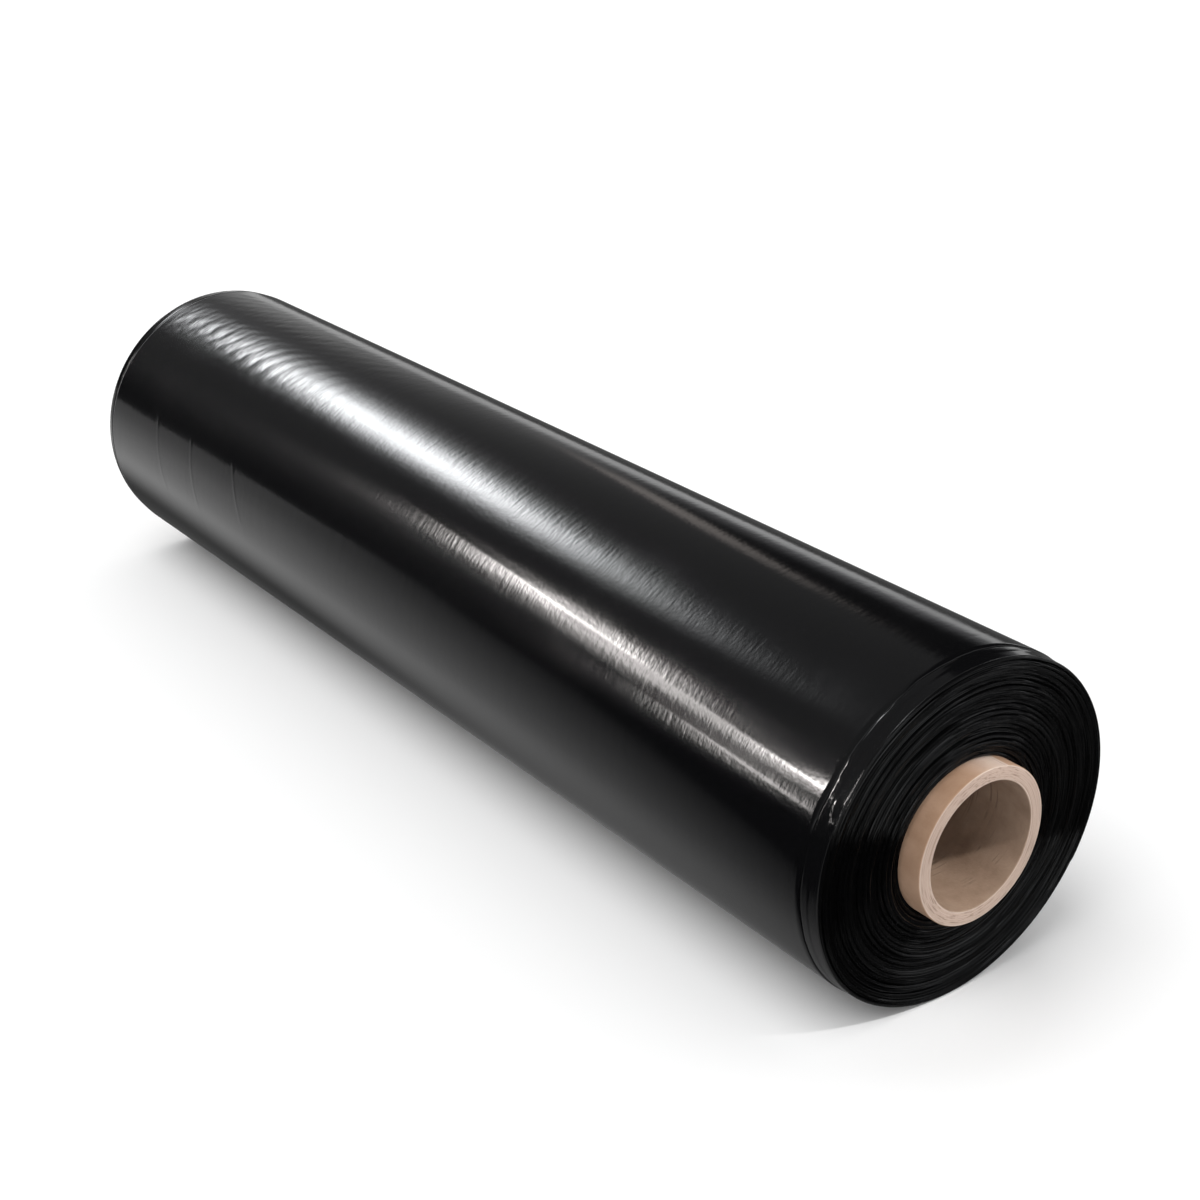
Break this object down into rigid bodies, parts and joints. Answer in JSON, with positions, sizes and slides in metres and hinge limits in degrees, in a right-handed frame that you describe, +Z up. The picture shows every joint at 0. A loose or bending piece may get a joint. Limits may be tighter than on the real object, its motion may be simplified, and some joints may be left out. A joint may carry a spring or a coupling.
{
  "type": "roll of plastic sheeting",
  "caption": "Roll of black plastic sheeting wound on an open paperboard core, lying on its side, with the folded sheet's turns showing in both ends.",
  "frame": {"origin": "on the plane the roll lies on, below the middle of its bounding box", "axes": "+X along the roll's axis, towards the end that the picture shows; +Z up; -Y towards the side that the picture shows"},
  "size_m": [0.874, 0.2124, 0.2096],
  "materials": {
    "paperboard": "tan spiral-wound paperboard, matt, paler at the cut ends",
    "black_film": "black polyethylene film, glossy and slightly rippled"
  },
  "bodies": {
    "root": {"core": "paperboard", "film_roll": "black_film"}
  },
  "joints": []
}
